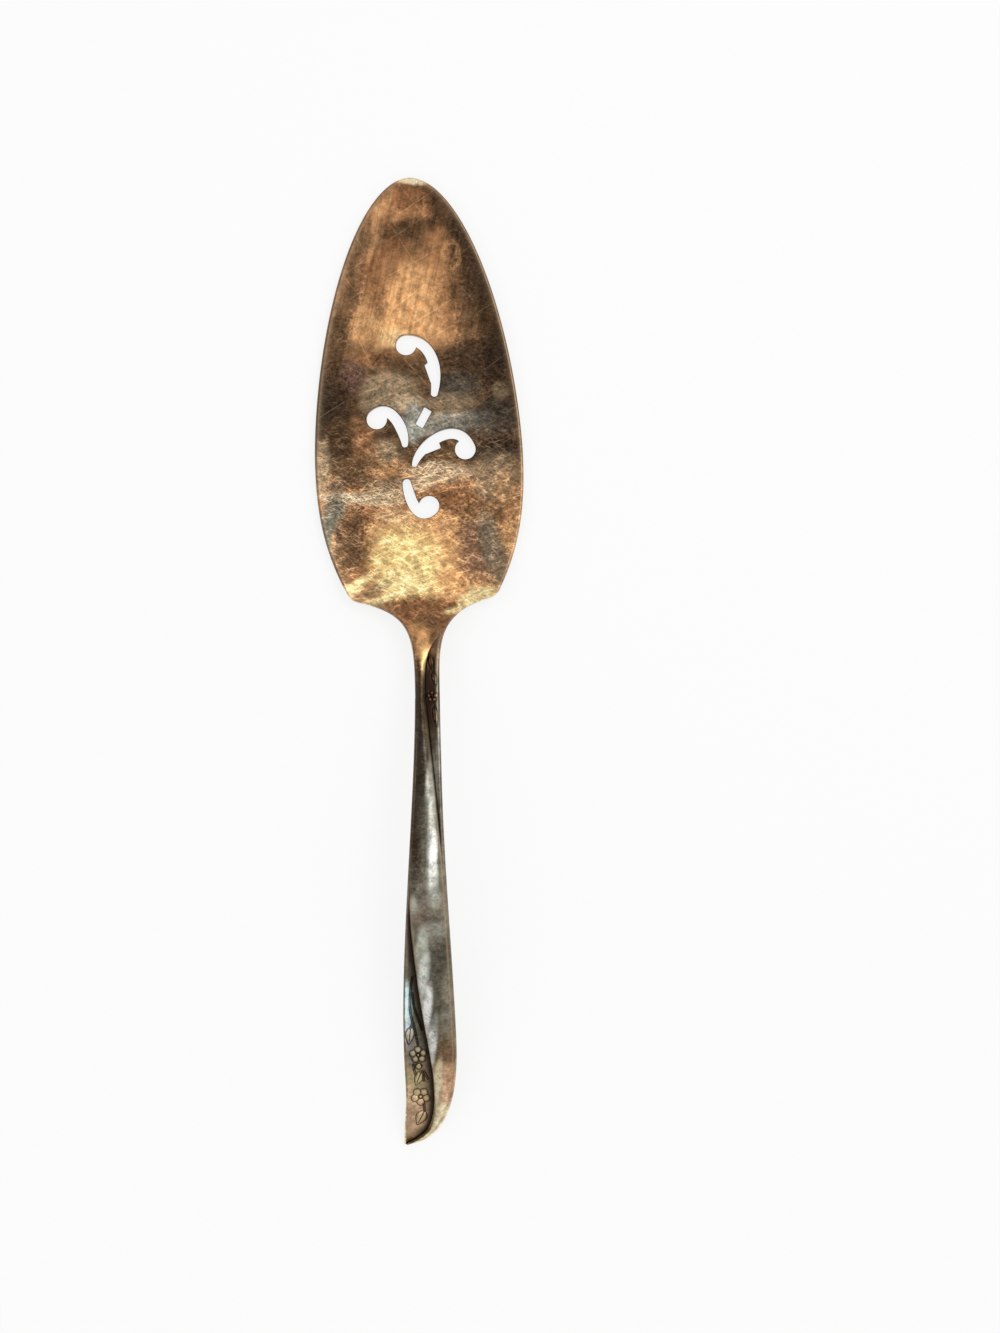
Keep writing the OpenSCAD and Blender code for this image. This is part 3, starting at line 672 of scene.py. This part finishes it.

# Stains of tarnish, with painted reflections and highlights among them: centre x and y, half width
# and half length in millimetres, turn in degrees, tint, cover
STAINS_AND_REFLECTIONS = [
    # the tip, with a painted highlight along its end
    (0.1, 68.1, 6.7, 2.6, -2, "rust", 0.95), (-7.3, 49.4, 3.1, 5.6, -10, "rust", 0.8),
    (-7, 65.3, 1.3, 4.1, -34, "honey", 0.8), (9.1, 63.1, 3.3, 7.7, 32, "soot", 0.8),
    (-0.2, 59.4, 7.2, 2.3, 12, "bistre", 0.85), (-4.5, 53.9, 4.6, 3.3, 28, "rust", 0.9),
    (6.3, 54.5, 3.1, 4.4, -2, "tawny", 0.9), (-12.7, 55.7, 1.5, 6.7, -22, "umber", 0.8),
    (-9.3, 57.6, 1, 6.7, -18, "honey", 0.5), (0.7, 72.2, 7.7, 1.2, -2, "cream_highlight", 0.9),
    # the golden middle of the upper blade, and its dark flanks, tarnish and partly painted
    # reflections
    (-1.4, 40.2, 8.7, 10.8, -2, "orange", 0.55), (-0.9, 41.5, 4.6, 7.7, -2, "orange", 0.5),
    (-4.2, 33.4, 6.7, 3.6, -2, "orange", 0.7), (-5.3, 31.9, 3.6, 2, -2, "straw", 0.4),
    (-10, 44.9, 3.1, 6.7, 6, "rust", 0.75), (-17.3, 42, 3.6, 11.8, -14, "umber", 0.95),
    (-12.9, 36.2, 2, 4.6, -10, "honey", 0.6), (8.8, 39.6, 2.6, 8.7, 6, "tawny", 0.8),
    (18.1, 42.8, 5.1, 16.4, 15, "soot", 0.95), (12.7, 41.5, 3.1, 11.3, 8, "bistre", 0.75),
    (20.3, 32.5, 4.1, 9.2, 6, "bistre", 0.9), (14.2, 32.7, 2.6, 6.7, 6, "umber", 0.8),
    (-20.7, 31.4, 3.3, 6.7, -8, "bistre", 0.85),
    # the dark belt across the widest part, tarnish and partly a painted reflection of dark
    # surroundings
    (-22, 22.7, 5.1, 6.1, -2, "bistre", 0.95), (-15.9, 22.5, 3.1, 4.6, -2, "wine", 0.85),
    (-22.4, 12.7, 4.6, 9.7, -2, "soot", 1), (-19.6, 5.7, 4.6, 6.1, -12, "bistre", 0.9),
    (-10.1, 26.9, 6.1, 2.3, -10, "tawny", 0.8), (-4.5, 24.7, 6.7, 1.5, -26, "bistre", 0.8),
    (-6.8, 18.1, 6.7, 5.1, -2, "olive", 1), (-15.3, 10.2, 1.8, 5.1, -8, "umber", 0.9),
    (-1.8, 14.8, 4.1, 2, -2, "beige", 0.6), (16, 25.5, 8.7, 5.1, 4, "soot", 0.75),
    (21.5, 21.2, 3.8, 10.8, 2, "soot", 0.7), (10.1, 19, 5.6, 3.6, -2, "ash", 0.9),
    (7.4, 13.5, 6.7, 3.6, -2, "olive", 0.7), (8.2, 9.4, 8.7, 2.8, 6, "pewter", 0.55),
    (19, 10, 6.1, 5.1, 4, "ash", 0.7), (19.3, 2.3, 7.2, 2.8, 4, "soot", 0.95),
    (21.3, 17.6, 2, 1.8, -2, "olive", 0.6), (-1, 9.7, 2.8, 4.4, -2, "pewter", 0.95),
    (-8.9, 2.8, 4.1, 3.1, -2, "olive", 0.75), (-11.5, 15.2, 3.1, 2.6, -2, "olive", 0.6),
    (-13.5, 4.5, 3.1, 6.1, 8, "tawny", 0.7), (6, 2.8, 4.1, 2, -2, "umber", 0.9),
    # the scratched zone and its warm edges
    (-17.3, -2.6, 5.6, 3.3, -2, "umber", 0.95), (-7.5, -1.4, 4.1, 2, 6, "honey", 0.5),
    (5.8, -2.9, 8.2, 2.3, -2, "beige", 0.6), (-17, -9, 8.2, 1.5, -8, "beige", 0.95),
    (-7.7, -7, 5.6, 3.1, -2, "olive", 0.8), (-8.8, -9.5, 4.1, 2, -2, "beige", 0.5),
    (0, -5.7, 4.1, 1.5, -2, "beige", 0.6), (8.1, -9.6, 6.7, 2.3, -2, "rust", 0.85),
    (19.5, -4.9, 5.6, 6.1, -2, "olive", 0.75), (21.5, -8, 2.6, 4.1, -2, "honey", 0.5),
    (-17.2, -13.8, 5.1, 2.6, 4, "rust", 0.95), (-4.9, -14.3, 6.1, 2, -2, "beige", 0.6),
    (6.9, -15.2, 5.6, 2, -2, "honey", 0.7), (15.6, -15.5, 5.6, 4.6, -2, "umber", 0.7),
    (-24.4, -1.3, 1.8, 6.7, -2, "olive", 0.85),
    # the painted highlight before the neck, and the shoulders
    (-2.7, -24.6, 11.8, 10.2, -2, "orange", 0.9), (-4.3, -26.6, 8.7, 8.7, -2, "glow", 0.85),
    (-4.9, -30.7, 5.6, 3.6, -2, "straw", 0.5), (-24, -18.7, 2.8, 12.8, -14, "slate", 1),
    (-18.7, -21.5, 4.4, 8.7, -12, "umber", 1), (-16.2, -29.3, 2.6, 4.1, -42, "tawny", 0.85),
    (8.8, -32, 4.6, 3.6, -2, "orange", 0.7), (13.2, -23.6, 3.8, 7.7, 6, "wine", 0.75),
    (18.3, -23.8, 2.8, 9.2, 12, "slate", 0.75), (23.5, -23, 1.5, 8.7, 10, "honey", 0.6),
    (-18.8, -32.8, 1.5, 5.6, -50, "straw", 0.95), (-12.7, -33, 1.3, 4.6, -64, "slate", 0.5),
    (-12.7, -36.1, 1, 6.1, -70, "straw", 0.9), (14.4, -35.3, 4.4, 2, 12, "straw", 0.95),
    (11.7, -37.5, 6.1, 1, 12, "straw", 0.9), (-1.5, -37, 9.2, 2, -2, "rust", 0.95),
    (0.5, -41.2, 3.1, 2.3, -2, "umber", 0.7), (-1.6, -44.7, 3.3, 3.6, -2, "orange", 0.45),
    (-24.2, -23.1, 0.6, 6.7, -16, "honey", 0.5),
    # the neck
    (-0.4, -47.8, 1.5, 3.6, -2, "orange", 0.85), (-0.2, -51.4, 0.9, 3.1, -2, "glow", 0.8),
    (-3, -49.3, 0.6, 5.1, -8, "umber", 0.6), (2.9, -45.4, 1.5, 3.1, 22, "umber", 0.9),
    (-2.1, -55.8, 0.9, 5.1, -2, "umber", 0.8), (-0.6, -59.9, 0.6, 7.7, -2, "olive", 0.35),
    (-0.4, -72.6, 0.5, 6.1, -6, "olive", 0.35),
    # the upper handle: painted shade down its left side, and a painted reflection as its pale
    # streak
    (-2.4, -69.4, 1.8, 15.4, -1, "soot", 0.95), (-3.7, -91.4, 1.8, 12.8, 1, "soot", 0.95),
    (-1.8, -80.3, 1.8, 12.8, -2, "ash", 0.85), (0.6, -81.9, 1, 6.7, -5, "pewter", 0.8),
    (0.5, -94, 0.9, 10.8, -5, "mist_reflection", 0.55), (3, -72.7, 0.6, 10.2, -4, "pewter", 0.6),
    (0.8, -100.4, 0.9, 6.7, -5, "frost_reflection", 0.95), (-0.9, -93, 0.9, 7.7, -4, "slate", 0.5),
    (1, -105.3, 0.8, 5.1, -5, "mist_reflection", 0.6), (2.7, -85.3, 0.8, 7.7, -4, "slate", 0.6),
    # the middle of the handle, with a painted reflection as the pale column beside the ridge
    (-4.8, -104.6, 1, 5.1, 2, "ash", 0.7), (-4.5, -111, 0.9, 2.3, -2, "pewter", 0.7),
    (-2.5, -114.6, 1.8, 1.8, -2, "wine", 0.45), (-0.1, -117.7, 3.1, 2.3, -2, "pewter", 0.6),
    (0.7, -108.7, 1.5, 3.1, -2, "pewter", 0.7), (-3, -122.1, 1.4, 4.6, -8, "teal", 0.75),
    (-2.9, -130.3, 1.3, 7.2, -9, "mist_reflection", 0.75), (-2.4, -138.6, 1.1, 6.7, -10, "frost_reflection", 1),
    (-1.6, -147.1, 1.1, 7.2, -10, "frost_reflection", 1), (2.2, -125.3, 2, 5.6, -2, "ash", 0.7),
    (0.8, -136.6, 1.7, 8.2, -8, "slate", 0.75), (3.1, -135.1, 1.5, 9.2, -5, "stone", 0.85),
    (1.9, -149.4, 2.3, 3.6, -2, "umber", 0.75),
    # the end of the handle, with painted highlights
    (0.8, -158.6, 3.3, 5.6, -7, "rose", 1), (-0.9, -158.5, 1, 7.2, -9, "cream_highlight", 0.9),
    (2.8, -157.6, 1, 6.1, 0, "tawny", 0.5), (-0.2, -167.6, 3.6, 4.1, 28, "cream_highlight", 1),
]


def spot(x, y, half_w, half_l, turn):
    """The square of a place's distance from a stain's middle, counted in the stain's own half
    width and half length, and roughened by the grain. Places are (x, y, 1), so one dot product
    gives each turned coordinate."""
    c, s = math.cos(math.radians(turn)), math.sin(math.radians(turn))
    u = put("VectorMath", {0: flat_at, 1: (c / half_w, s / half_w, -(c * x + s * y) / half_w)},
            out=1, operation="DOT_PRODUCT")
    v = put("VectorMath", {0: flat_at, 1: (-s / half_l, c / half_l, (s * x - c * y) / half_l)},
            out=1, operation="DOT_PRODUCT")
    rough = put("Math", {0: u, 1: u, 2: grain}, operation="MULTIPLY_ADD")
    return put("Math", {0: v, 1: v, 2: rough}, operation="MULTIPLY_ADD")


for x, y, half_w, half_l, turn, name, cover in STAINS_AND_REFLECTIONS:
    colour = lay(colour, rgba(name), step(spot(x, y, half_w, half_l, turn), 2.1, 0.15, 0.0, cover))

# A drop has dried into a faint oval ring near the tip
ring = spot(9.8, 52.3, 2.3, 3.7, -18)
ring = calc("MULTIPLY", step(ring, 0.35, 0.75), step(ring, 1.35, 0.95, 0.0, 0.5))
colour = lay(colour, rgba("honey"), ring)

# Light and dark in the tarnish. The upper blade is brushed lengthwise and its mottling is faint;
# behind it wiping has left crossed wisps, down to the neck; then the mottling is faint again
front = step(place_y, 22.0, 34.0)
behind = calc("MULTIPLY", calc("SUBTRACT", 1.0, front), step(place_y, -46.0, -40.0))
calm = calc("ADD", calc("MULTIPLY", front, 0.6), step(place_y, -14.0, -24.0, 0.0, 0.4))
fine_shade = put("Mix", {0: calm, 2: step(mottle, 0.30, 0.70, 0.50, 1.54), 3: 1.0})
wisps = calc("MAXIMUM", noise(turned(at, turn=16, size=(5, 0.6, 1)), 0.9, 4, 0.7),
             noise(turned(at, turn=-34, size=(4, 0.6, 1)), 0.9, 4, 0.7))
fine_shade = calc("MULTIPLY", fine_shade,
                  put("MapRange", {0: behind, 3: 1.0, 4: step(wisps, 0.42, 0.72, 0.72, 1.56)}))
shade = calc("MULTIPLY", step(clouds, 0.3, 0.7, 0.66, 1.36), fine_shade)
shade = calc("MULTIPLY", shade,
             put("MapRange", {0: front, 3: 1.0, 4: step(streaks, 0.3, 0.7, 0.74, 1.30)}))
warmth = put("Mix", {0: step(noise(at, 0.9, 4, 0.7), 0.35, 0.65), 4: (0.94, 1.01, 1.05),
                     5: (1.05, 0.99, 0.93)}, out=1, data_type="VECTOR")
colour = put("VectorMath", {0: colour, 1: warmth}, operation="MULTIPLY")
colour = put("VectorMath", {0: colour, 3: shade}, operation="SCALE")


def scratches(turn, length, gap, width, seed):
    """Fine straight scratches, all about one way. The place is turned and cut into cells, a length
    by a gap; each row of cells is shifted at random. A cell holds one scratch, whose height, tilt
    and reach come from white noise on the cell's numbers."""
    run = turned(at, (seed, seed, 0), turn)
    down = calc("DIVIDE", put("SeparateXYZ", {0: run}, out=1), gap)
    row = calc("FLOOR", down)
    shift = put("TexWhiteNoise", {"W": calc("ADD", row, float(seed))}, noise_dimensions="1D")
    run_x = put("Math", {0: put("SeparateXYZ", {0: run}), 1: 1 / length, 2: shift},
                operation="MULTIPLY_ADD")
    cell = put("CombineXYZ", {0: calc("FLOOR", run_x), 1: row, 2: float(seed)})
    chance = put("TexWhiteNoise", {"Vector": cell}, out=1)
    height, tilt, reach = (put("SeparateColor", {0: chance}, out=k) for k in range(3))
    part = calc("SUBTRACT", calc("FRACT", run_x), 0.5)
    off = calc("SUBTRACT", calc("FRACT", down),
               put("Math", {0: height, 1: 0.4, 2: 0.3}, operation="MULTIPLY_ADD"))
    slant = calc("MULTIPLY", calc("SUBTRACT", tilt, 0.5), part)
    off = calc("ABSOLUTE", put("Math", {0: slant, 1: 0.5, 2: off}, operation="MULTIPLY_ADD"))
    end = calc("SUBTRACT", calc("MULTIPLY", reach, 0.5), calc("ABSOLUTE", part))
    return calc("MULTIPLY", step(off, width / gap, 0.2 * width / gap), step(end, 0.0, 0.12))


# Fine scratches lie all over, thickest where hands and knives have worn the plate; a few long
# ones cross the blade. Each shows the brighter metal under the tarnish
fine = scratches(12, 7.0, 1.5, 0.16, 7)
for turn, length, gap, width, seed in [(-24, 6.0, 1.3, 0.14, 31), (47, 5.0, 1.4, 0.15, 53),
                                       (3, 3.2, 0.9, 0.13, 41), (-41, 3.0, 1.0, 0.12, 11)]:
    fine = calc("MAXIMUM", fine, scratches(turn, length, gap, width, seed))
long_ones = calc("MAXIMUM", scratches(31, 17.0, 6.5, 0.13, 5), scratches(-58, 15.0, 8.0, 0.13, 63))
worn_zone = calc("MULTIPLY", step(place_y, 14.0, 0.0), step(place_y, -46.0, -34.0))
worn_zone = calc("MULTIPLY", worn_zone, step(clouds, 0.44, 0.66))
for x, y, half_w, half_l, turn in [(3, -3, 9, 4, 0), (-12, -9, 11, 4, 6)]:
    worn_zone = calc("MAXIMUM", worn_zone, step(spot(x, y, half_w, half_l, turn), 1.6, 0.4))
scratch_cover = calc("MULTIPLY", fine, put("MapRange", {0: worn_zone, 3: 0.1, 4: 0.85}))
scratch_cover = calc("MAXIMUM", scratch_cover,
                     calc("MULTIPLY", long_ones, step(place_y, -48.0, -40.0, 0.06, 0.34)))
bright = put("VectorMath", {0: colour, 1: (2.0, 2.0, 2.0), 2: (0.24, 0.17, 0.105)},
             operation="MULTIPLY_ADD")
colour = lay(colour, bright, scratch_cover)

# The sunk panels: dark tarnish in the cut lines and over the whole upper panel, paler stains at
# the open side of the lower one, and painted shadow beside the ridge and at the foot of its wall
PANEL_STAINS = [
    (-7, -122, 0.8, 7.5, -2, "stone", 0.8), (-7.7, -137.3, 1.5, 6, -2, "sky", 0.95),
    (-7.5, -144.2, 1.4, 3.5, -2, "lilac", 0.9), (-6.7, -146.9, 1.2, 2.5, -2, "stone", 0.8),
    (-6.6, -151.2, 2, 2, -2, "slate", 0.7), (-7, -158.3, 3, 4, -2, "moss", 0.8),
    (-7.4, -165, 3.5, 6, -2, "rose", 0.45),
]
panel_tint = lay(rgba("soot"), rgba("slate"), step(place_y, -118.0, -134.0))
panel_tint = lay(panel_tint, rgba("olive"), step(place_y, -146.0, -156.0))
for x, y, half_w, half_l, turn, name, cover in PANEL_STAINS:
    panel_tint = lay(panel_tint, rgba(name),
                     step(spot(x, y, half_w, half_l, turn), 2.1, 0.15, 0.0, cover))
# The panel tints are painted 1.35 times brighter, as painted light that makes up for the shade in
# the sunk panels
panel_tint = put("VectorMath", {0: panel_tint, 3: calc("MULTIPLY", shade, 1.35)}, operation="SCALE")
rim, in_panel = stored("rim"), stored("panel")
colour = lay(colour, panel_tint, calc("MULTIPLY", in_panel, step(place_y, -96.0, -106.0)))
upper_panel = calc("MULTIPLY", in_panel, step(place_y, -71.0, -66.0))
upper_tint = lay((0.026, 0.014, 0.009, 1.0), rgba("pewter"), step(rim, 0.25, 0.75))
colour = lay(colour, upper_tint, calc("MULTIPLY", upper_panel, 0.92))
# Painted shadow of the ridge wall over the panel beside it
colour = lay(colour, rgba("soot"), step(stored("lee_shadow"), 0.05, 0.75, 0.0, 0.92))
# Painted highlights on the raised forms: straw on the lower panel, tawny on the upper
raised_highlight_tint = lay(rgba("straw"), rgba("tawny"), step(place_y, -100.0, -80.0))
colour = lay(colour, raised_highlight_tint, step(stored("raised"), 0.3, 1.0, 0.0, 0.5))
# Near-black tarnish in the cut lines, and painted shade at the foot of the walls
colour = lay(colour, (0.02, 0.013, 0.009, 1.0), stored("cut_line_and_foot_shade"))
# Painted highlight along the ridge tops
colour = lay(colour, rgba("beige"), calc("MULTIPLY", stored("crest_highlight"), 0.3))

# A painted highlight brightens the rim a little, and painted shade darkens the sides of the
# openings
colour = lay(colour, rgba("beige"), calc("MULTIPLY", rim, step(place_y, -44.0, -34.0, 0.06, 0.3)))
up = put("SeparateXYZ", {0: put("TexCoord", out=1)}, out=2)
wall_shade = calc("MULTIPLY", step(calc("ABSOLUTE", up), 0.86, 0.55), calc("SUBTRACT", 1.0, rim))
wall_shade = calc("MULTIPLY", wall_shade, step(place_y, -30.0, -20.0, 0.5, 0.9))
colour = lay(colour, rgba("soot"), wall_shade)

# The underside is evenly dull, with faint broad clouds and the same fine scratches
facing = step(up, -0.25, 0.15)
below = lay(rgba("olive"), rgba("tawny"), step(noise(at, 0.045, 6, 0.6), 0.32, 0.68))
below = lay(below, rgba("umber"), step(noise(at, 0.03, 6, 0.62), 0.46, 0.78, 0.0, 0.75))
below = lay(below, rgba("beige"), calc("MULTIPLY", fine, 0.3))
below = put("VectorMath", {0: below, 3: step(mottle, 0.25, 0.75, 0.82, 1.2)}, operation="SCALE")
colour = lay(below, colour, facing)

bump = put("Bump", {"Height": mottle, "Strength": 0.25, "Distance": 0.012 * MM})
gloss = put("MapRange", {0: mottle, 1: 0.3, 2: 0.7, 3: 0.30, 4: 0.46})
surface = put("BsdfPrincipled", {"Base Color": colour, "Metallic": 1.0, "Roughness": gloss,
                                 "Normal": bump})
put("OutputMaterial", {0: surface})
server.data.materials.clear()
server.data.materials.append(silver)

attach(server, "root")
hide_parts("pie_server")

# The table. A wide white sheet that stays white to the camera and in reflections, and still takes
# a part of the server's shadow.
floor_mesh = bpy.data.meshes.new("floor")
floor_z = -0.05 * MM
floor_mesh.from_pydata([(x, y, floor_z) for x, y in [(-3, -3), (3, -3), (3, 3), (-3, 3)]],
                       [], [(0, 1, 2, 3)])
floor = bpy.data.objects.new("floor", floor_mesh)
bpy.context.scene.collection.objects.link(floor)
sheet = bpy.data.materials.new("white_table")
sheet.use_nodes = True
tree = sheet.node_tree
tree.nodes.clear()


def seen_ray():
    """1 for a ray from the camera, a reflection or a refraction, 0 for diffuse light."""
    seen = [put("LightPath", out=k) for k in (0, 3, 6)]
    return calc("MAXIMUM", calc("MAXIMUM", seen[0], seen[1]), seen[2])


paper = put("BsdfDiffuse", {0: (0.9, 0.9, 0.89, 1.0)})
shine = put("Emission", {0: (1.0, 1.0, 1.0, 1.0), 1: 1.0})
table = put("MixShader", {0: calc("MULTIPLY", seen_ray(), 0.8), 1: paper, 2: shine})
put("OutputMaterial", {0: table})
floor.data.materials.append(sheet)

# The studio. A pale room that is a little darker on one side, so that the metal shows its form,
# two broad soft lamps, and the camera straight above, as in the photograph.
room = bpy.data.worlds.new("studio")
bpy.context.scene.world = room
room.use_nodes = True
tree = room.node_tree
tree.nodes.clear()
side = put("VectorMath", {0: put("TexCoord", out=0), 1: (0.80, 0.30, 0.52)}, out=1,
           operation="DOT_PRODUCT")
backdrop = put("MapRange", {0: side, 1: -0.5, 2: 0.9, 3: 0.42, 4: 1.0})
level = put("Mix", {0: seen_ray(), 2: 0.75, 3: backdrop})
put("OutputWorld", {0: put("Background", {0: (1.0, 1.0, 1.0, 1.0), 1: level})})

LAMPS = [("key", (0.42, 0.25, 0.75), 0.5, 1.8), ("fill", (-0.5, -0.3, 0.6), 0.6, 0.5)]
for name, place, size, power in LAMPS:
    lamp = bpy.data.lights.new(name, "AREA")
    lamp.shape, lamp.size, lamp.energy = "DISK", size, power
    holder = bpy.data.objects.new(name, lamp)
    holder.location = place
    aim = np.array(place) - np.array([0.0, -0.05, 0.01])
    tilt = math.acos(aim[2] / np.linalg.norm(aim))
    holder.rotation_euler = (tilt, 0, math.atan2(aim[0], -aim[1]))
    bpy.context.scene.collection.objects.link(holder)

# The camera stands over the middle of the photograph, which lies to the right of the server and
# behind its widest line, and the server is turned a little in the picture
view_x, view_y, view_height, view_turn = 0.01884, -0.05318, 0.380, math.radians(-2.03)
view = bpy.data.cameras.new("photograph")
view.lens, view.sensor_width, view.clip_start = 39.9, 36.0, 0.01
camera = bpy.data.objects.new("photograph", view)
camera.location = (view_x, view_y, view_height)
camera.rotation_euler = (0, 0, view_turn)
bpy.context.scene.collection.objects.link(camera)
bpy.context.scene.camera = camera
bpy.context.scene.view_settings.view_transform = "Standard"
